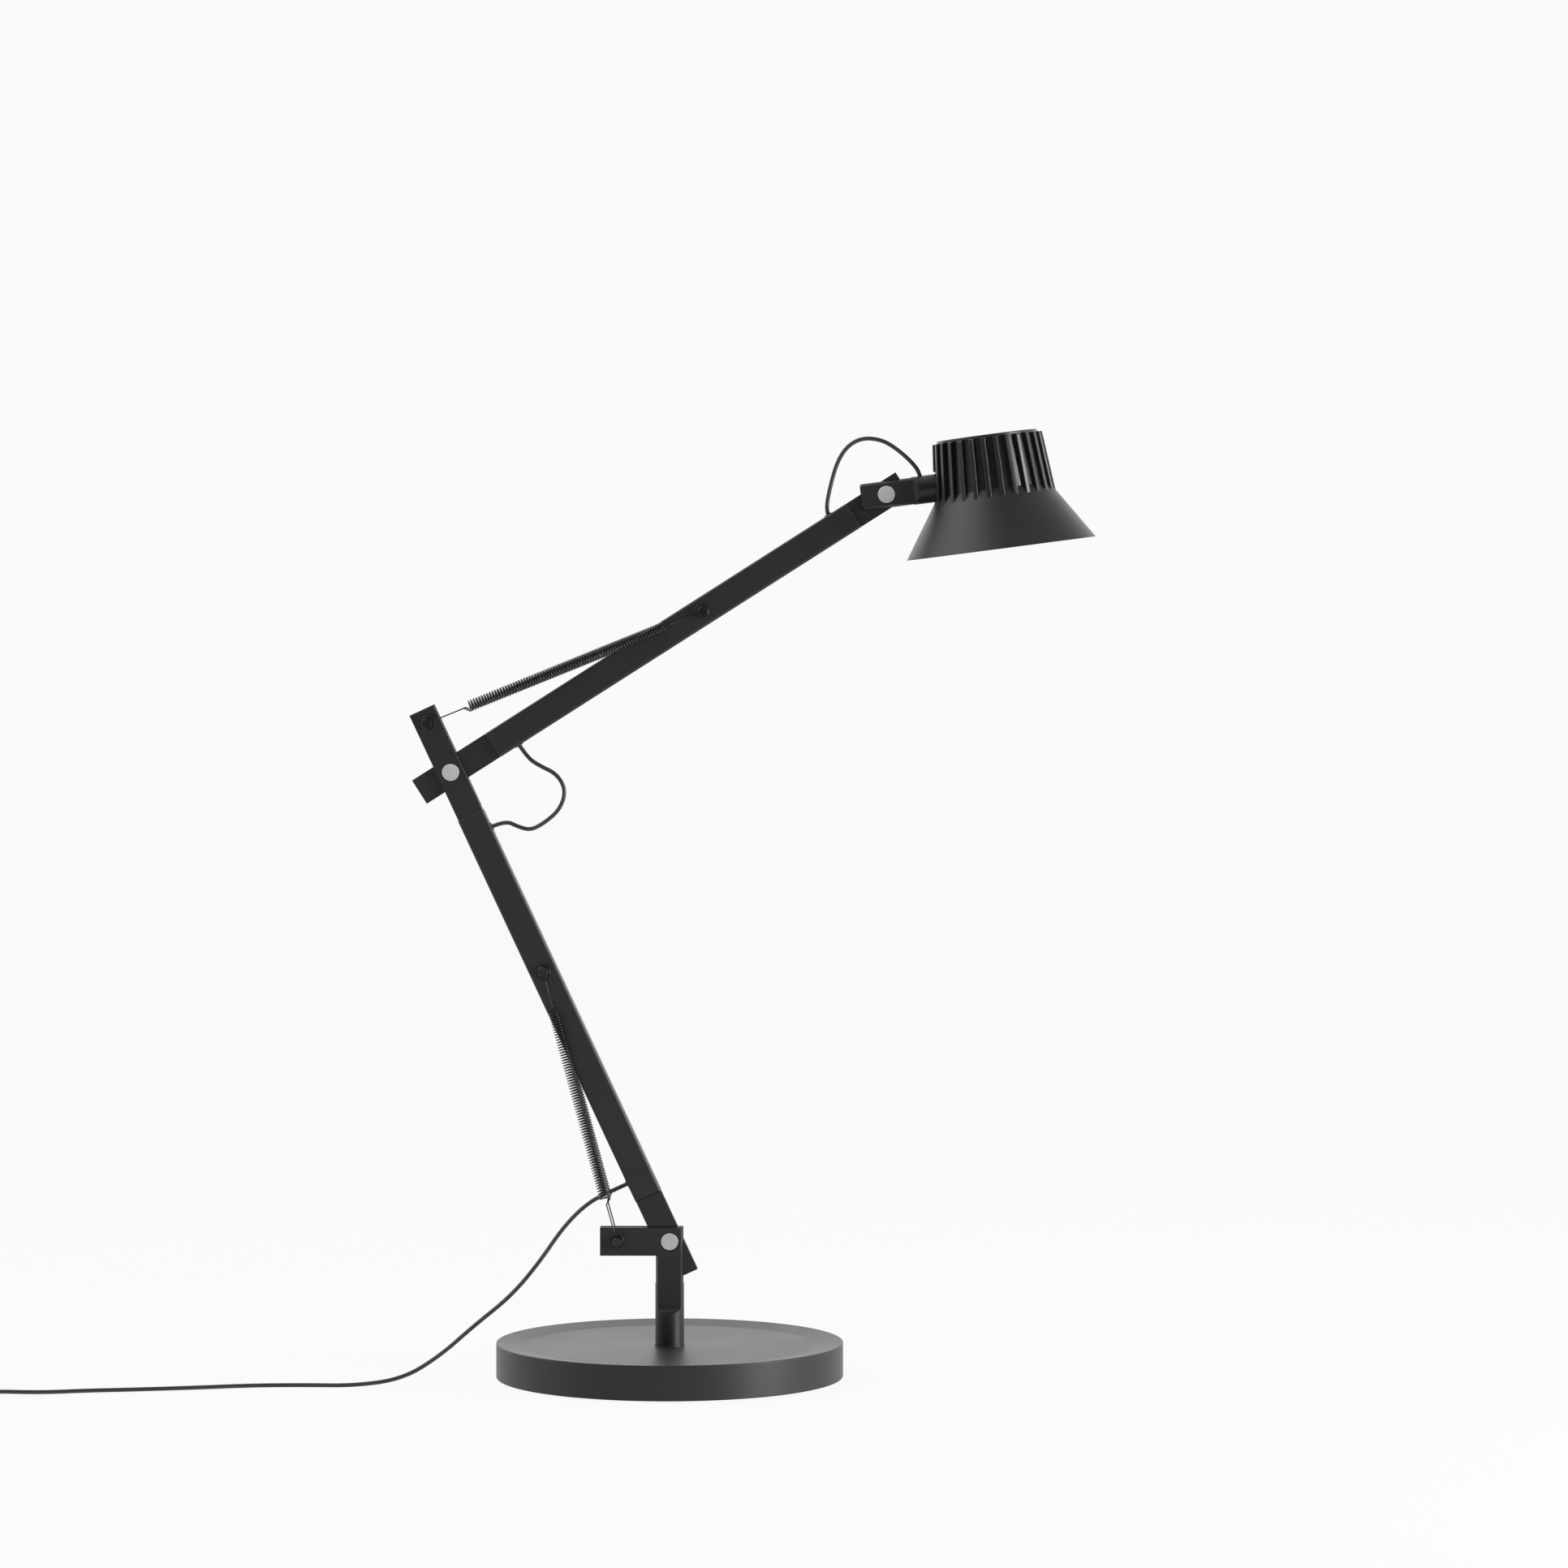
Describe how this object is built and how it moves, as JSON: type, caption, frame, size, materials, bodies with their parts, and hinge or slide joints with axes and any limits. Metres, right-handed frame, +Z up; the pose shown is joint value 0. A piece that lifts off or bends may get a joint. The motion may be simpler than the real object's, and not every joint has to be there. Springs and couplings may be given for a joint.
{
  "type": "architect desk lamp",
  "caption": "Desk lamp with a round weighted base, swivelling post, spring balanced arms and a finned tilting head with a conical shade and a coiled power cord.",
  "frame": {"origin": "middle of the base's underside, on the table", "axes": "+Z up, +X the side that the shade reaches to, -Y the front in the picture"},
  "size_m": [0.6855, 0.2, 0.5458],
  "materials": {
    "powder_coat": "matte dark grey powder coat",
    "coated_aluminium": "matte dark grey powder coat on aluminium",
    "cast_weight": "sealed casting",
    "rubber": "matte rubber",
    "steel": "zinc plated",
    "dark_steel": "black oxide spring wire",
    "satin_cap": "satin turned",
    "bearing_plastic": "dark acetal",
    "cord_jacket": "soft cord jacket",
    "black_plastic": "fine spark texture",
    "light_board": "white masked board",
    "light_source": "phosphor gel",
    "white_reflector": "white moulding",
    "opal": "opal sheet"
  },
  "bodies": {
    "base": {"base_cover": "powder_coat", "base_weight": "cast_weight", "base_pad": "rubber", "base_screws": "steel", "swivel_bush": "bearing_plastic"},
    "post": {"post_bracket": "powder_coat", "thrust_washer": "bearing_plastic", "spindle_nut": "steel", "lower_pivot_pin": "steel", "lower_pivot_caps": "satin_cap", "lower_pivot_washers": "bearing_plastic", "lower_spring_root_pin": "dark_steel", "power_cord": "cord_jacket", "power_cord_coil": "cord_jacket", "cord_tie": "black_plastic", "power_plug": "black_plastic", "plug_pins": "steel"},
    "lower_arm": {"lower_arm_foot": "coated_aluminium", "lower_arm_tube": "coated_aluminium", "lower_arm_fork": "coated_aluminium", "lower_arm_cable": "cord_jacket", "lower_arm_grommets": "rubber", "lower_spring_arm_pin": "dark_steel", "lower_spring_arm_hooks": "dark_steel", "upper_spring_root_pin": "dark_steel", "elbow_pivot_pin": "steel", "elbow_pivot_caps": "satin_cap", "elbow_pivot_washers": "bearing_plastic", "elbow_cord": "cord_jacket"},
    "upper_arm": {"upper_arm_foot": "coated_aluminium", "upper_arm_tube": "coated_aluminium", "upper_arm_tip": "coated_aluminium", "upper_arm_cable": "cord_jacket", "upper_arm_grommets": "rubber", "upper_spring_arm_pin": "dark_steel", "upper_spring_arm_hooks": "dark_steel", "head_cord": "cord_jacket"},
    "neck": {"neck_fork": "coated_aluminium", "head_pivot_pin": "steel", "head_pivot_caps": "satin_cap", "head_pivot_washers": "bearing_plastic", "neck_cable": "cord_jacket", "neck_grommet": "rubber", "neck_retainer": "steel"},
    "lamp_head": {"heat_sink": "coated_aluminium", "shade": "coated_aluminium", "top_cap": "coated_aluminium", "switch_module": "black_plastic", "light_plate": "light_board", "plate_screws": "steel", "light_chip": "light_source", "reflector": "white_reflector", "diffuser": "opal", "diffuser_ring": "coated_aluminium"},
    "dimmer_button": {"dimmer_button": "black_plastic"},
    "lower_spring_hooks": {"lower_spring_root_hooks": "dark_steel"},
    "lower_spring_coil": {"lower_spring_coils": "dark_steel"},
    "upper_spring_hooks": {"upper_spring_root_hooks": "dark_steel"},
    "upper_spring_coil": {"upper_spring_coils": "dark_steel"}
  },
  "joints": [
    {"name": "post_swivel", "type": "hinge", "parent": "base", "child": "post", "pos_m": [0, 0, 0.02], "axis": [0, 0, 1], "range_deg": [-170, 170]},
    {"name": "lower_arm_lean", "type": "hinge", "parent": "post", "child": "lower_arm", "pos_m": [0, 0, 0.0786], "axis": [0, 1, 0], "range_deg": [-20, 45], "deforming": ["power_cord"]},
    {"name": "elbow", "type": "hinge", "parent": "lower_arm", "child": "upper_arm", "pos_m": [-0.12547, 0, 0.3489], "axis": [0, 1, 0], "range_deg": [-35, 30], "deforming": ["elbow_cord"]},
    {"name": "head_tilt", "type": "hinge", "parent": "upper_arm", "child": "neck", "pos_m": [0.1246, 0, 0.50821], "axis": [0, 1, 0], "range_deg": [-60, 50], "deforming": ["head_cord"]},
    {"name": "head_turn", "type": "hinge", "parent": "neck", "child": "lamp_head", "pos_m": [0.1246, 0, 0.50821], "axis": [0.9917, 0, 0.1288], "range_deg": [-60, 60]},
    {"name": "dimmer_press", "type": "slide", "parent": "lamp_head", "child": "dimmer_button", "axis": [0.1288, 0, -0.9917], "range_m": [0, 0.0008], "stiffness_N_per_m": 500, "springref_m": -0.001},
    {"name": "lower_spring_swing", "type": "hinge", "parent": "post", "child": "lower_spring_hooks", "pos_m": [-0.03, 0, 0.0786], "axis": [0, 1, 0], "range_deg": [-20.2, 45.46]},
    {"name": "lower_spring_stretch", "type": "slide", "parent": "lower_spring_hooks", "child": "lower_spring_coil", "axis": [-0.2624, 0, 0.965], "range_m": [-0.00992, 0.02231], "deforming": ["lower_spring_coils"]},
    {"name": "upper_spring_swing", "type": "hinge", "parent": "lower_arm", "child": "upper_spring_hooks", "pos_m": [-0.13861, 0, 0.3772], "axis": [0, 1, 0], "range_deg": [-35.01, 30]},
    {"name": "upper_spring_stretch", "type": "slide", "parent": "upper_spring_hooks", "child": "upper_spring_coil", "axis": [0.9268, 0, 0.3756], "range_m": [-0.01803, 0.01545], "deforming": ["upper_spring_coils"]}
  ],
  "couplings": [
    {"joint": "lower_spring_swing", "follows": "lower_arm_lean", "ratio": 1.01},
    {"joint": "lower_spring_stretch", "follows": "lower_arm_lean", "m_per_rad": 0.0284},
    {"joint": "upper_spring_swing", "follows": "elbow", "ratio": 1},
    {"joint": "upper_spring_stretch", "follows": "elbow", "m_per_rad": 0.0295}
  ]
}
